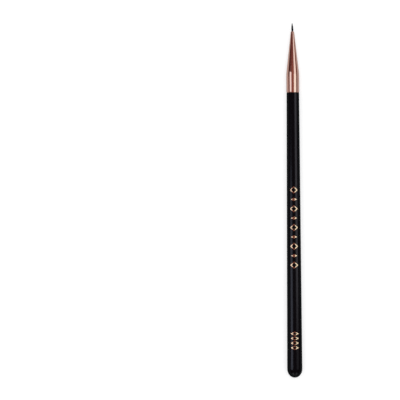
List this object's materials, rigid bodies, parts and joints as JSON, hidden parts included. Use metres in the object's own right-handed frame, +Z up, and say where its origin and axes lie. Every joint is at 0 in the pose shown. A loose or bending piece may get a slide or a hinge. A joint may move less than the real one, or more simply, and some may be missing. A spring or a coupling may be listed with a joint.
{
  "type": "eyeliner brush",
  "caption": "Slim eyeliner brush: tapered lacquered handle, coned metal ferrule and a tiny pointed tuft of hair.",
  "frame": {"origin": "on the surface the brush lies on, under the middle of its overall length", "axes": "+X along the brush towards the point of the hair, +Z up from the surface it lies on"},
  "size_m": [0.175, 0.0074, 0.0075],
  "materials": {
    "black_lacquer": "semi-gloss black lacquer on turned wood",
    "rose_gold": "polished rose-gold metal",
    "dark_hair": "soft black synthetic hair",
    "clear_resin": "cast amber resin",
    "wood_glue": "dried glue"
  },
  "bodies": {
    "root": {"handle": "black_lacquer", "tenon_glue": "wood_glue", "ferrule": "rose_gold", "root_resin": "clear_resin", "bristle_tuft": "dark_hair"}
  },
  "joints": []
}
